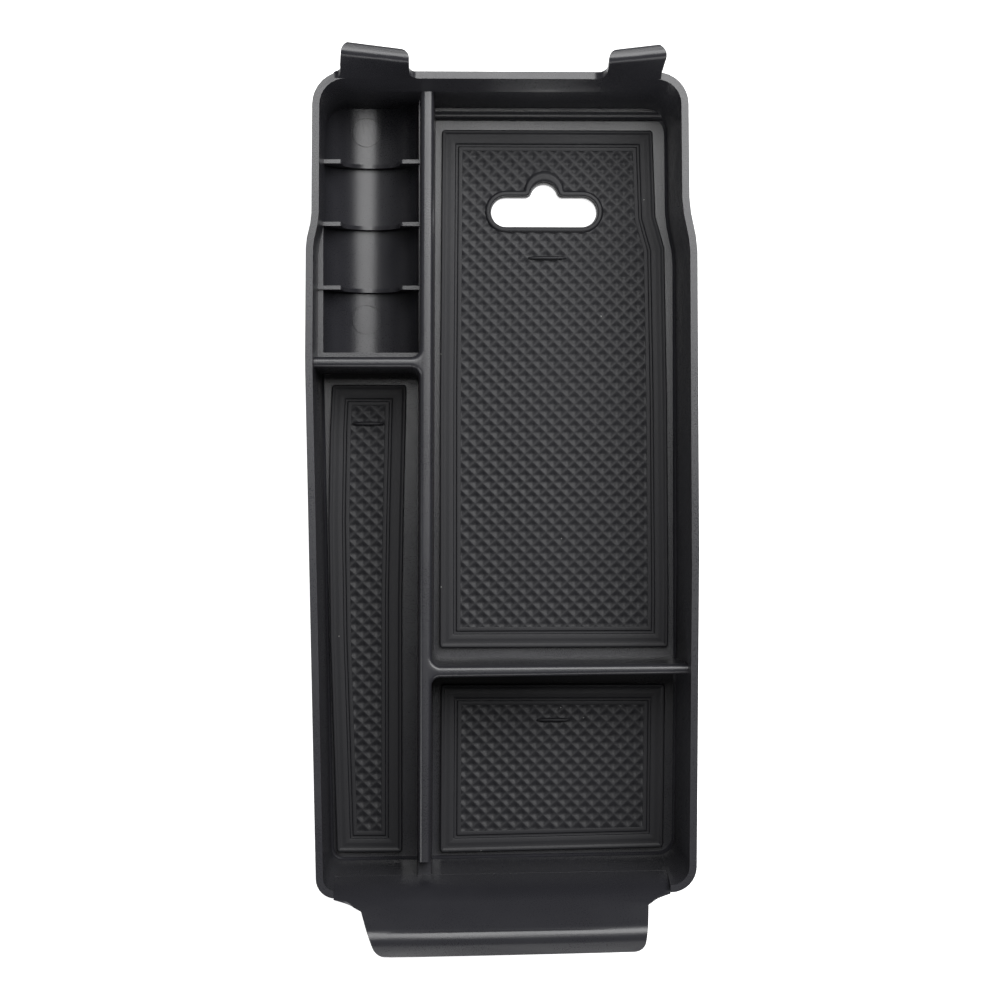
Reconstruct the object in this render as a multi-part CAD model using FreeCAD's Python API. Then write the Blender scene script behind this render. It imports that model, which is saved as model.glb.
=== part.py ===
import FreeCAD, Part
import math
import os

os.makedirs("parts", exist_ok=True)

V = FreeCAD.Vector

# Sizes in mm. X runs across the tray, Y along it with the two hook tabs at +Y, Z is up, the base lies on z = 0.

# Heights
RIM_Z = 45.0
DIVIDER_Z = 37.0
WALL = 2.4
FLOOR_Z = 2.4

# Outer ends of the rim
RIM_LEFT_X = -64.75
RIM_RIGHT_X = 64.9
RIM_TAB_Y = 140.8
RIM_LIP_Y = -130.9

# Rim outline, outer side, clockwise seen from above from the corner at -X +Y, with the radius at each corner
RIM_POINTS = [
    (RIM_LEFT_X + 2.35, RIM_TAB_Y), (RIM_RIGHT_X - 3.6, RIM_TAB_Y), (RIM_RIGHT_X - 3.2, 97.0),
    (RIM_RIGHT_X - 0.6, 84.5), (RIM_RIGHT_X, -20.0), (RIM_RIGHT_X - 0.9, RIM_LIP_Y + 1.9),
    (RIM_LEFT_X + 3.65, RIM_LIP_Y), (RIM_LEFT_X, 45.0), (RIM_LEFT_X + 0.25, 84.5), (RIM_LEFT_X + 2.1, 92.5),
]
RIM_RADII = [11.0, 10.5, 25.0, 25.0, 400.0, 8.5, 6.5, 200.0, 15.0, 15.0]

# How far each wall leans in between the rim and the divider tops, and between the rim and the floor
SIDE_LEAN = (0.26, 1.4)
TOP_LEAN = (3.1, 4.6)
BOTTOM_LEAN = (1.8, 4.9)
LEANS = [TOP_LEAN] + [SIDE_LEAN] * 4 + [BOTTOM_LEAN] + [SIDE_LEAN] * 4
# Rounding at the floor as (inset, height above the surface) steps, for the underside and inside the compartments
UNDERSIDE_STEPS = [(2.0, 0.0), (0.6, 0.6), (0.0, 2.0)]
FLOOR_STEPS = [(0.8, 0.0), (0.0, 0.8)]
SMALLEST_CORNER = 4.0
WALL_CHORD_ANGLE = 11.25

# Dividers: the long one runs the whole tray, one short one each side of it
DIVIDER_DRAFT = 0.7
DIVIDER_ROUND = 1.5
LONG_LEFT_X = (-26.75, -27.55)
LONG_RIGHT_X = (-22.45, -23.75)
LONG_Y = (RIM_TAB_Y + 3.2, RIM_LIP_Y - 5.1)
CROSS_REACH = 72.0
COIN_CROSS_Y = (47.4, 43.9)
MAIN_CROSS_LEFT_Y = (-55.0, -58.9)
MAIN_CROSS_RIGHT_Y = (-54.5, -57.6)
JUNCTION_ROUND = 3.0

# Coin trough: a half round channel with three ribs, cored from below
TROUGH_X = -43.6
TROUGH_R = 16.1
TROUGH_LOW_Z = 5.4
TROUGH_END_Y = 49.6
TROUGH_SKIN = 2.4
TROUGH_SIDE_X = (-70.0, -24.5)
TROUGH_TAB_Y = RIM_TAB_Y + 4.2
CORE_Y = (52.0, 131.0)
CORE_X = (-58.4, -29.6)
RIB_Y = (113.8, 92.8, 71.4)
RIB_THICK = 1.3
RIB_CUT_R = 9.7
RIB_TOP_ABOVE = 17.9
RIB_CUT_DEPTH = 14.6
RIB_TIP_R = 1.0
EJECTOR_MARKS = [(-45.6, 125.7), (-45.6, 61.5)]
EJECTOR_R = 5.1
EJECTOR_LINE = 0.35
EJECTOR_DEEP = 0.3

# Step at the tab end of the main compartment
LEDGE_FRONT_Y = RIM_TAB_Y - 10.2
LEDGE_BACK_Y = RIM_TAB_Y + 4.2
LEDGE_X = (-24.0, CROSS_REACH)
LEDGE_Z = 8.0
LEDGE_ROUND = 2.6

# Hang slot: a long round-ended slot with a round bump on its tab side
SLOT_X = 15.4
SLOT_Y = 99.0
SLOT_LENGTH = 36.2
SLOT_WIDTH = 10.0
SLOT_BUMP_R = 4.6
SLOT_BUMP_BLEND = 2.0
SLOT_COLLAR = 1.9
SLOT_MAT_GAP = 0.4

# Hook tabs: sheets that lean out above the rim and roll over. Each has an outline seen from above, as (x, distance
# beyond the rim), an outline seen from the front, as (x, height above the rim), and a crest that leans further
# out at one end, as (x, distance beyond the rim).
TAB_SHEET = 2.0
TAB_RISE = 11.5
TAB_FOOT_DROP = 4.0
TAB_TIP_REACH = 4.3
TAB_TIP_DROP = 1.2
TAB_BENDS = (6.0, 2.4)
SHEET_TOP = 25.0
FLUSH = 0.04
OPEN_BACK = 9.0
LEFT_TAB_PLAN = [
    (-26.0, -5.5), (-26.0, 1.2), (-30.5, 2.4), (-30.7, 5.3), (-52.2, 8.7), (-53.1, 0.9), (-55.6, -0.6), (-55.6, -5.5),
]
LEFT_TAB_PLAN_RADII = [0, 0, 0, 3.2, 3.6, 0, 0, 0]
LEFT_TAB_FRONT = [
    (-26.6, -9.0), (-26.6, 0.0), (-30.5, 0.0), (-30.6, SHEET_TOP),
    (-53.4, SHEET_TOP), (-53.0, 0.0), (-55.4, 0.0), (-55.4, -9.0),
]
LEFT_TAB_FRONT_RADII = [0, 0, 3.6, 0, 0, 2.2, 0, 0]
LEFT_TAB_CREST = [(-57.0, 4.6), (-26.0, 0.8)]
RIGHT_TAB_PLAN = [(29.0, -5.5), (29.0, 1.2), (34.4, 2.4), (34.9, 5.4), (54.6, 8.6), (52.2, -1.0), (52.2, -5.5)]
RIGHT_TAB_PLAN_RADII = [0, 0, 0, 3.0, 4.0, 0, 0]
RIGHT_TAB_FRONT = [
    (29.6, -9.0), (29.6, 0.0), (34.3, 0.0), (34.6, SHEET_TOP), (56.0, SHEET_TOP), (56.0, -9.0),
]
RIGHT_TAB_FRONT_RADII = [0, 0, 4.4, 0, 0, 0]
RIGHT_TAB_CREST = [(29.0, 0.8), (57.0, 4.1)]

# Pouring lip, laid out as the tabs are; it bows outward and its rim runs aslant
LIP_SHEET = 2.4
LIP_RISE = 12.5
LIP_FOOT_DROP = (17.0, 4.5)
LIP_FOOT_BACK = (2.6, 0.8)
LIP_CREST_REACH = 12.6
LIP_TIP_REACH = 7.6
LIP_TIP_DROP = 3.4
LIP_BENDS = (26.0, 5.0)
LIP_BOW = 1.2
LIP_PLAN = [
    (-55.6, -10.9), (-55.6, 0.3), (-50.0, 1.9), (-46.3, 3.6), (-41.2, 17.9),
    (46.2, 16.2), (47.9, 1.7), (51.0, 0.1), (55.6, -1.4), (55.6, -10.9),
]
LIP_PLAN_RADII = [0, 0, 0, 0, 5.0, 4.0, 0, 0, 0, 0]
LIP_FRONT = [
    (-55.4, -18.0), (-55.4, 0.0), (-47.2, 0.0), (-47.2, SHEET_TOP),
    (48.2, SHEET_TOP), (48.2, 0.0), (55.4, 0.0), (55.4, -18.0),
]
LIP_FRONT_RADII = [0, 0, 7.0, 0, 0, 6.0, 0, 0]
LIP_SECTION_X = (-60.0, -36.0, -12.0, 12.0, 36.0, 60.0)
LIP_SLANT = 0.015

# Mats: a base, a frame with a sloped outer band, a groove and a field of diamond pits
MAT_RIGHT_X = RIM_RIGHT_X - 6.7
MAT_LEFT_X = RIM_LEFT_X + 6.15
MAT_TAB_Y = LEDGE_FRONT_Y - 3.6
MAT_LIP_Y = RIM_LIP_Y + 9.9
MAIN_MAT = [
    (-19.7, MAT_TAB_Y), (MAT_RIGHT_X - 5.5, MAT_TAB_Y), (MAT_RIGHT_X - 4.5, 97.5), (MAT_RIGHT_X - 1.4, 86.5),
    (MAT_RIGHT_X - 0.5, 34.0), (MAT_RIGHT_X, -34.0), (MAT_RIGHT_X - 0.2, -50.6), (-20.5, -50.8), (-20.4, 34.0),
]
SMALL_MAT = [(-20.1, -63.2), (MAT_RIGHT_X - 1.2, -63.2), (MAT_RIGHT_X - 1.9, MAT_LIP_Y + 1.6), (-20.4, MAT_LIP_Y)]
PEN_MAT = [
    (MAT_LEFT_X + 1.2, 39.5), (-31.8, 39.5), (-32.7, 0.0), (-33.3, -34.0), (-33.3, MAT_LIP_Y + 0.2),
    (MAT_LEFT_X + 2.9, MAT_LIP_Y + 0.2), (MAT_LEFT_X + 1.7, -82.0), (MAT_LEFT_X + 0.6, -48.0),
    (MAT_LEFT_X, -7.0), (MAT_LEFT_X + 0.5, 24.0),
]
MAT_BOTTOM_Z = FLOOR_Z
FRAME_STEPS = [
    (0.0, MAT_BOTTOM_Z), (0.0, 3.7), (1.4, 4.9), (1.8, 4.6), (4.7, 4.75), (5.0, 3.5), (5.9, 3.5), (6.1, 4.4),
]
FIELD_Z = FRAME_STEPS[-1][1]
FIELD_MARGIN = 0.7
COLLAR_Z = 4.9
PIT_PITCH = 4.87
PIT_DEPTH = 1.0
MAIN_PIT_AT = (18.49, 23.05)
SMALL_PIT_AT = (17.33, -93.26)
PEN_PIT_AT = (-44.51, -42.78)
FIN_RISE = 1.5
FIN_WIDTH = 1.7
MAIN_FIN = (16.4, 83.1, 13.4)
SMALL_FIN = (18.6, -75.5, 11.6)
PEN_FIN = (-45.0, 26.2, 10.8)


# Cross product of the turn at b on the way from a to c
def turn(a, b, c):
    return (b[0] - a[0]) * (c[1] - b[1]) - (b[1] - a[1]) * (c[0] - b[0])


# Polygon with every edge moved to its inner side by its own distance; the points run clockwise
def moved_edges(points, distances):
    count = len(points)
    lines = []
    for i in range(count):
        a, b = points[i], points[(i + 1) % count]
        length = math.hypot(b[0] - a[0], b[1] - a[1])
        direction = ((b[0] - a[0]) / length, (b[1] - a[1]) / length)
        inward = (direction[1], -direction[0])
        start = (a[0] + inward[0] * distances[i], a[1] + inward[1] * distances[i])
        lines.append((start, direction))
    out = []
    for i in range(count):
        (p, d), (q, e) = lines[i - 1], lines[i]
        cross = d[0] * e[1] - d[1] * e[0]
        along = ((q[0] - p[0]) * e[1] - (q[1] - p[1]) * e[0]) / cross
        out.append((p[0] + d[0] * along, p[1] + d[1] * along))
    return out


# Corner radii of a clockwise polygon after its edges moved in by a distance
def moved_radii(points, radii, distance):
    out = []
    for i, radius in enumerate(radii):
        nxt = points[(i + 1) % len(points)]
        convex = turn(points[i - 1], points[i], nxt) < 0
        changed = radius - distance if convex else radius + distance
        out.append(max(changed, SMALLEST_CORNER))
    return out


# Closed chain of edges through flat 3D points with an arc at every corner that has a radius. With a chord angle,
# each arc is made of straight chords that turn by about that angle.
def rounded_edges(points, radii, chord_angle=0):
    starts = []
    ends = []
    arcs = []
    for i, point in enumerate(points):
        before = (points[i - 1] - point).normalize()
        after = (points[(i + 1) % len(points)] - point).normalize()
        half = before.getAngle(after) / 2
        if radii[i] > 0:
            reach = radii[i] / math.tan(half)
            middle = (before + after).normalize() * (radii[i] / math.sin(half) - radii[i])
            starts.append(point + before * reach)
            ends.append(point + after * reach)
            arcs.append(Part.Arc(starts[i], point + middle, ends[i]).toShape())
        else:
            starts.append(point)
            ends.append(point)
            arcs.append(None)
    edges = []
    for i, arc in enumerate(arcs):
        if arc is not None and chord_angle:
            turned = math.degrees(arc.Length / radii[i])
            stops = arc.discretize(max(round(turned / chord_angle), 1) + 1)
            edges += [Part.makeLine(a, b) for a, b in zip(stops[:-1], stops[1:])]
        elif arc is not None:
            edges.append(arc)
        edges.append(Part.makeLine(ends[i], starts[(i + 1) % len(points)]))
    return edges


def at_height(points, z):
    return [V(x, y, z) for x, y in points]


def outline_edges(points, radii, z):
    return rounded_edges(at_height(points, z), radii)


def prism(edges, height):
    return Part.Face(Part.Wire(edges)).extrude(V(0, 0, height))


def closed_polygon(points):
    return Part.makePolygon(points + [points[0]])


# Face between two matching edges: flat between parallel lines, ruled otherwise
def side_face(a, b):
    p, q = a.discretize(2)
    r, s = b.discretize(2)
    if a.Curve.TypeId == "Part::GeomLine":
        if (q - p).cross(s - r).Length < 1e-6 * (q - p).Length * (s - r).Length:
            return Part.Face(closed_polygon([p, q, s, r]))
    return Part.makeRuledSurface(a, b)


# Solid between matching edge chains
def skinned(chains):
    faces = [Part.Face(Part.Wire(chains[0])), Part.Face(Part.Wire(chains[-1]))]
    for lower, upper in zip(chains[:-1], chains[1:]):
        faces += [side_face(a, b) for a, b in zip(lower, upper)]
    return solid_of(faces)


# Solid bounded by loose faces that meet edge to edge
def solid_of(faces):
    skin = Part.makeShell(faces)
    skin.sewShape()
    solid = Part.makeSolid(Part.Shell(skin.Faces))
    if solid.Volume < 0:
        solid.reverse()
    return solid


def box(x, y, z):
    return Part.makeBox(x[1] - x[0], y[1] - y[0], z[1] - z[0], V(x[0], y[0], z[0]))


# Tray outline at a given height level: 0 rim, 1 divider tops, 2 floor; inset measured from the outer skin
def level_edges(level, inset, z):
    leans = [0.0 if level == 0 else lean[level - 1] for lean in LEANS]
    points = moved_edges(RIM_POINTS, [inset + lean for lean in leans])
    radii = moved_radii(RIM_POINTS, RIM_RADII, inset)
    return rounded_edges(at_height(points, z), radii, WALL_CHORD_ANGLE)


# Edges of a solid that lie wholly in one horizontal plane
def edges_at(solid, z):
    found = []
    for edge in solid.Edges:
        box_of = edge.BoundBox
        if abs(box_of.ZMin - z) < 1e-4 and abs(box_of.ZMax - z) < 1e-4:
            found.append(edge)
    return found


# Solid block with the tray's outside shape
def outer_block():
    foot = [level_edges(2, inset, rise) for inset, rise in UNDERSIDE_STEPS]
    return skinned(foot + [level_edges(1, 0.0, DIVIDER_Z), level_edges(0, 0.0, RIM_Z)])


# The hollow of the open tub, with its floor corners rounded
def tub_hollow():
    foot = [level_edges(2, WALL + inset, FLOOR_Z + rise) for inset, rise in FLOOR_STEPS]
    return skinned(foot + [level_edges(1, WALL, DIVIDER_Z), level_edges(0, WALL, RIM_Z)])


# Block that ends half way into the walls and the floor, used to trim what stands inside the tub
def trim_block():
    inset = WALL / 2
    return skinned([level_edges(2, inset, FLOOR_Z / 2), level_edges(1, inset, DIVIDER_Z), level_edges(0, inset, RIM_Z)])


# All dividers as one drafted solid with rounded junctions and a rounded top edge
def dividers():
    reach = CROSS_REACH
    top = [
        (LONG_LEFT_X[0], LONG_Y[0]), (LONG_RIGHT_X[0], LONG_Y[0]),
        (-23.2, MAIN_CROSS_LEFT_Y[0]), (reach, MAIN_CROSS_RIGHT_Y[0]),
        (reach, MAIN_CROSS_RIGHT_Y[1]), (-23.3, MAIN_CROSS_LEFT_Y[1]),
        (LONG_RIGHT_X[1], LONG_Y[1]), (LONG_LEFT_X[1], LONG_Y[1]),
        (-27.15, COIN_CROSS_Y[1]), (-reach, COIN_CROSS_Y[1]),
        (-reach, COIN_CROSS_Y[0]), (-27.1, COIN_CROSS_Y[0]),
    ]
    round_at = (2, 5, 8, 11)
    radii = [JUNCTION_ROUND if i in round_at else 0 for i in range(len(top))]
    foot_z = FLOOR_Z - 1.0
    foot = moved_edges(top, [-DIVIDER_DRAFT] * len(top))
    walls = skinned([outline_edges(foot, radii, foot_z), outline_edges(top, radii, DIVIDER_Z)])
    return walls.makeFillet(DIVIDER_ROUND, edges_at(walls, DIVIDER_Z))


def trough_cylinder(radius, y):
    centre = V(TROUGH_X, y[0], TROUGH_LOW_Z + TROUGH_R)
    return Part.makeCylinder(radius, y[1] - y[0], centre, V(0, 1, 0))


# Block under the coins with its half round channel, which the end wall of the tub closes
def trough_block():
    shoulder = TROUGH_LOW_Z + TROUGH_R
    block = box(TROUGH_SIDE_X, (COIN_CROSS_Y[1] + 1.0, TROUGH_TAB_Y), (FLOOR_Z / 4, shoulder))
    return block.cut(trough_cylinder(TROUGH_R, (TROUGH_END_Y, TROUGH_TAB_Y + 1.0)))


# Space below the trough, left open at the underside
def trough_core():
    core = box(CORE_X, CORE_Y, (-1.0, TROUGH_LOW_Z + TROUGH_R - TROUGH_SKIN))
    return core.cut(trough_cylinder(TROUGH_R + TROUGH_SKIN, (CORE_Y[0] - 1, CORE_Y[1] + 1)))


# One rib across the trough, with flat shoulders and a U cut for the fingers
def rib(y):
    top = TROUGH_LOW_Z + RIB_TOP_ABOVE
    low = top - RIB_CUT_DEPTH
    left = TROUGH_X - RIB_CUT_R
    right = TROUGH_X + RIB_CUT_R
    foot = TROUGH_LOW_Z - TROUGH_SKIN / 2
    points = [
        (TROUGH_SIDE_X[0], foot), (TROUGH_SIDE_X[0], top), (left, top), (left, low),
        (right, low), (right, top), (TROUGH_SIDE_X[1], top), (TROUGH_SIDE_X[1], foot),
    ]
    radii = [0, 0, RIB_TIP_R, RIB_CUT_R - 0.05, RIB_CUT_R - 0.05, RIB_TIP_R, 0, 0]
    edges = rounded_edges([V(x, y - RIB_THICK / 2, z) for x, z in points], radii)
    return Part.Face(Part.Wire(edges)).extrude(V(0, RIB_THICK, 0))


# Thin round line pressed into the trough skin by an ejector pin
def ejector_mark(x, y):
    ring = Part.makeCylinder(EJECTOR_R, 12.0, V(x, y, 0.5))
    ring = ring.cut(Part.makeCylinder(EJECTOR_R - EJECTOR_LINE, 12.0, V(x, y, 0.5)))
    return ring.common(trough_cylinder(TROUGH_R + EJECTOR_DEEP, (TROUGH_END_Y + 1, CORE_Y[1] + 2)))


# Outline of the hang slot grown by a gap, with the blends beside its bump
def slot_edges(gap, z):
    half = SLOT_LENGTH / 2 + gap
    r = SLOT_WIDTH / 2 + gap
    bump = SLOT_BUMP_R + gap
    blend = max(SLOT_BUMP_BLEND - gap, 0.6)
    top = SLOT_Y + r
    side = math.sqrt((bump + blend) ** 2 - blend ** 2)
    touch = bump / (bump + blend)
    slant = math.atan2(blend, side)
    half_turn = (math.pi / 2 - slant) / 2
    left_mid = V(-side, top + blend, 0) + V(math.sin(half_turn), -math.cos(half_turn), 0) * blend
    places = {
        "left_top": V(-half + r, top, 0), "left_end": V(-half, SLOT_Y, 0), "left_low": V(-half + r, SLOT_Y - r, 0),
        "right_low": V(half - r, SLOT_Y - r, 0), "right_end": V(half, SLOT_Y, 0), "right_top": V(half - r, top, 0),
        "blend_left": V(-side, top, 0), "blend_left_mid": left_mid,
        "bump_left": V(-side * touch, top + blend * touch, 0), "bump_top": V(0, top + bump, 0),
        "bump_right": V(side * touch, top + blend * touch, 0), "blend_right_mid": V(-left_mid.x, left_mid.y, 0),
        "blend_right": V(side, top, 0),
    }
    at = {name: place + V(SLOT_X, 0, z) for name, place in places.items()}
    return [
        Part.makeLine(at["left_low"], at["right_low"]),
        Part.Arc(at["right_low"], at["right_end"], at["right_top"]).toShape(),
        Part.makeLine(at["right_top"], at["blend_right"]),
        Part.Arc(at["blend_right"], at["blend_right_mid"], at["bump_right"]).toShape(),
        Part.Arc(at["bump_right"], at["bump_top"], at["bump_left"]).toShape(),
        Part.Arc(at["bump_left"], at["blend_left_mid"], at["blend_left"]).toShape(),
        Part.makeLine(at["blend_left"], at["left_top"]),
        Part.Arc(at["left_top"], at["left_end"], at["left_low"]).toShape(),
    ]


# Path of a tab's inner face as (y, height): in line with the wall, out to its crest, over to its tip
def tab_path(crest):
    inner = RIM_TAB_Y - WALL - FLUSH
    lean = TOP_LEAN[0] / (RIM_Z - DIVIDER_Z)
    top = RIM_Z + TAB_RISE
    foot = (inner - lean * TAB_FOOT_DROP, RIM_Z - TAB_FOOT_DROP)
    return [foot, (inner, RIM_Z), (RIM_TAB_Y + crest, top), (RIM_TAB_Y + crest + TAB_TIP_REACH, top - TAB_TIP_DROP)]


# Path of the lip's inner face at one place across the tray, as (distance from the middle, height)
def lip_path(x):
    inner = -RIM_LIP_Y - WALL - LIP_SLANT * (x - RIM_POINTS[6][0])
    top = RIM_Z + LIP_RISE
    crest = inner + LIP_CREST_REACH + LIP_BOW * (1 - (x / LIP_SECTION_X[0]) ** 2)
    feet = [(inner - back, RIM_Z - drop) for back, drop in zip(LIP_FOOT_BACK, LIP_FOOT_DROP)]
    return feet + [(crest, top), (crest + LIP_TIP_REACH, top - LIP_TIP_DROP)]


# Closed profile of a sheet: the path, and the same path moved out by the sheet thickness
def sheet_profile(path, radii, x, sign, thick):
    moved = []
    for i in range(len(path)):
        normals = []
        for j in (i - 1, i):
            if 0 <= j < len(path) - 1:
                dy = path[j + 1][0] - path[j][0]
                dz = path[j + 1][1] - path[j][1]
                length = math.hypot(dy, dz)
                normals.append((dz / length, -dy / length))
        a, b = normals[0], normals[-1]
        scale = thick / (1 + a[0] * b[0] + a[1] * b[1])
        moved.append((path[i][0] + (a[0] + b[0]) * scale, path[i][1] + (a[1] + b[1]) * scale))
    tip_round = thick * 0.45
    inner_radii = [0] + list(radii) + [tip_round]
    outer_radii = [0] + [max(r - thick, 0.6) for r in radii] + [tip_round]
    points = [V(x, sign * y, z) for y, z in path] + [V(x, sign * y, z) for y, z in reversed(moved)]
    return rounded_edges(points, inner_radii + outer_radii[::-1])


# Space above a sheet's inner face, used to open the wall behind it
def above_profile(path, radii, x, sign):
    points = [V(x, sign * y, z) for y, z in path]
    back = sign * (path[0][0] - OPEN_BACK)
    closing = [V(x, sign * path[-1][0], RIM_Z + 30.0), V(x, back, RIM_Z + 30.0), V(x, back, path[0][1])]
    return rounded_edges(points + closing, [0] + list(radii) + [0, 0, 0, 0])


# Upright block with an outline seen from above, given beyond the rim's end at +Y or -Y
def plan_block(plan, radii, sign, rim_y):
    points = [(x, rim_y + sign * beyond) for x, beyond in plan]
    return prism(outline_edges(points, radii, RIM_Z - 20.0), 50.0)


# Lying block with an outline seen from the front, given above the rim
def front_block(front, radii, rim_y):
    points = [V(x, rim_y - 30.0, RIM_Z + above) for x, above in front]
    return Part.Face(Part.Wire(rounded_edges(points, radii))).extrude(V(0, 60.0, 0))


def tab(plan, plan_radii, front, front_radii, crest):
    profiles = [sheet_profile(tab_path(reach), TAB_BENDS, x, 1, TAB_SHEET) for x, reach in crest]
    whole = skinned(profiles).common(front_block(front, front_radii, RIM_TAB_Y))
    return whole.common(plan_block(plan, plan_radii, 1, RIM_TAB_Y))


def lip():
    profiles = [sheet_profile(lip_path(x), LIP_BENDS, x, -1, LIP_SHEET) for x in LIP_SECTION_X]
    whole = skinned(profiles).common(front_block(LIP_FRONT, LIP_FRONT_RADII, RIM_LIP_Y))
    return whole.common(plan_block(LIP_PLAN, LIP_PLAN_RADII, -1, RIM_LIP_Y))


# Space that the lip leaves open above its inner face, out of the wall behind it
def lip_clearance():
    profiles = [above_profile(lip_path(x), LIP_BENDS, x, -1) for x in LIP_SECTION_X]
    whole = skinned(profiles).common(front_block(LIP_FRONT, LIP_FRONT_RADII, RIM_LIP_Y))
    return whole.common(plan_block(LIP_PLAN, LIP_PLAN_RADII, -1, RIM_LIP_Y))


# The moulded tray
def make_tray():
    trim = trim_block()
    ledge = box(LEDGE_X, (LEDGE_FRONT_Y, LEDGE_BACK_Y), (FLOOR_Z / 4, LEDGE_Z))
    ledge = ledge.makeFillet(LEDGE_ROUND, [e for e in edges_at(ledge, LEDGE_Z) if e.BoundBox.YMax < LEDGE_FRONT_Y + 1])
    inner = [dividers(), trough_block(), ledge] + [rib(y) for y in RIB_Y]
    tub = outer_block().cut(tub_hollow())
    tub = tub.fuse([piece.common(trim) for piece in inner])
    tub = tub.cut([trough_core()] + [ejector_mark(x, y) for x, y in EJECTOR_MARKS])
    tub = tub.cut(prism(slot_edges(0.0, -1.0), FLOOR_Z + 2.0))
    tub = tub.cut(lip_clearance())
    tub = tub.fuse([
        tab(LEFT_TAB_PLAN, LEFT_TAB_PLAN_RADII, LEFT_TAB_FRONT, LEFT_TAB_FRONT_RADII, LEFT_TAB_CREST),
        tab(RIGHT_TAB_PLAN, RIGHT_TAB_PLAN_RADII, RIGHT_TAB_FRONT, RIGHT_TAB_FRONT_RADII, RIGHT_TAB_CREST),
        lip(),
    ])
    return tub.removeSplitter()


# Cells of a staggered diamond lattice that lie wholly inside the field and clear of the blocked boxes
def pit_cells(field, centre, blocked):
    half = PIT_PITCH / 2
    xs = [p[0] for p in field]
    ys = [p[1] for p in field]
    cells = set()
    for i in range(int((min(xs) - centre[0]) / half), int((max(xs) - centre[0]) / half) + 1):
        for j in range(int((min(ys) - centre[1]) / half), int((max(ys) - centre[1]) / half) + 1):
            cx = centre[0] + i * half
            cy = centre[1] + j * half
            fits = (i + j) % 2 == 0
            for k, a in enumerate(field):
                b = field[(k + 1) % len(field)]
                length = math.hypot(b[0] - a[0], b[1] - a[1])
                along = ((cx - a[0]) * (b[0] - a[0]) + (cy - a[1]) * (b[1] - a[1])) / length
                inside = ((cx - a[0]) * (b[1] - a[1]) - (cy - a[1]) * (b[0] - a[0])) / length
                reach = half * max(abs(b[0] - a[0]), abs(b[1] - a[1])) / length
                if -half < along < length + half and inside < reach:
                    fits = False
            for x, y, w, h in blocked:
                if max(abs(cx - x) - w, 0) + max(abs(cy - y) - h, 0) < half:
                    fits = False
            if fits:
                cells.add((i, j))
    return without_pinches(cells)


# Removes cells until no two of them meet at a bare corner only
def without_pinches(cells):
    pinched = True
    while pinched:
        pinched = False
        for i, j in sorted(cells):
            if (i + 2, j) in cells and (i + 1, j + 1) not in cells and (i + 1, j - 1) not in cells:
                cells.discard((i, j))
                pinched = True
            elif (i, j + 2) in cells and (i + 1, j + 1) not in cells and (i - 1, j + 1) not in cells:
                cells.discard((i, j))
                pinched = True
    return cells


# Closed zigzag loops that bound the cells
def cell_loops(cells):
    follow = {}
    for i, j in cells:
        corners = [(i, j + 1), (i + 1, j), (i, j - 1), (i - 1, j)]
        beyond = [(i + 1, j + 1), (i + 1, j - 1), (i - 1, j - 1), (i - 1, j + 1)]
        for k in range(4):
            if beyond[k] not in cells:
                follow[corners[k]] = corners[(k + 1) % 4]
    loops = []
    while follow:
        start, at = follow.popitem()
        loop = [start]
        while at != start:
            loop.append(at)
            at = follow.pop(at)
        loops.append(loop)
    return loops


# Four sloped faces of each pit, meeting their neighbours at the ridges
def pit_faces(cells, centre):
    half = PIT_PITCH / 2
    faces = []
    for i, j in sorted(cells):
        corners = [(i, j + 1), (i + 1, j), (i, j - 1), (i - 1, j)]
        rim = [V(centre[0] + u * half, centre[1] + v * half, FIELD_Z) for u, v in corners]
        low = V(centre[0] + i * half, centre[1] + j * half, FIELD_Z - PIT_DEPTH)
        faces += [Part.Face(Part.makePolygon([rim[k - 1], rim[k], low, rim[k - 1]])) for k in range(4)]
    return faces


# Small upright fin that stands on the field
def fin(x, y, length):
    top = FIELD_Z + FIN_RISE
    block = box((x - length / 2, x + length / 2), (y - FIN_WIDTH / 2, y + FIN_WIDTH / 2), (FIELD_Z, top))
    return block.makeChamfer(0.5, edges_at(block, top))


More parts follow.
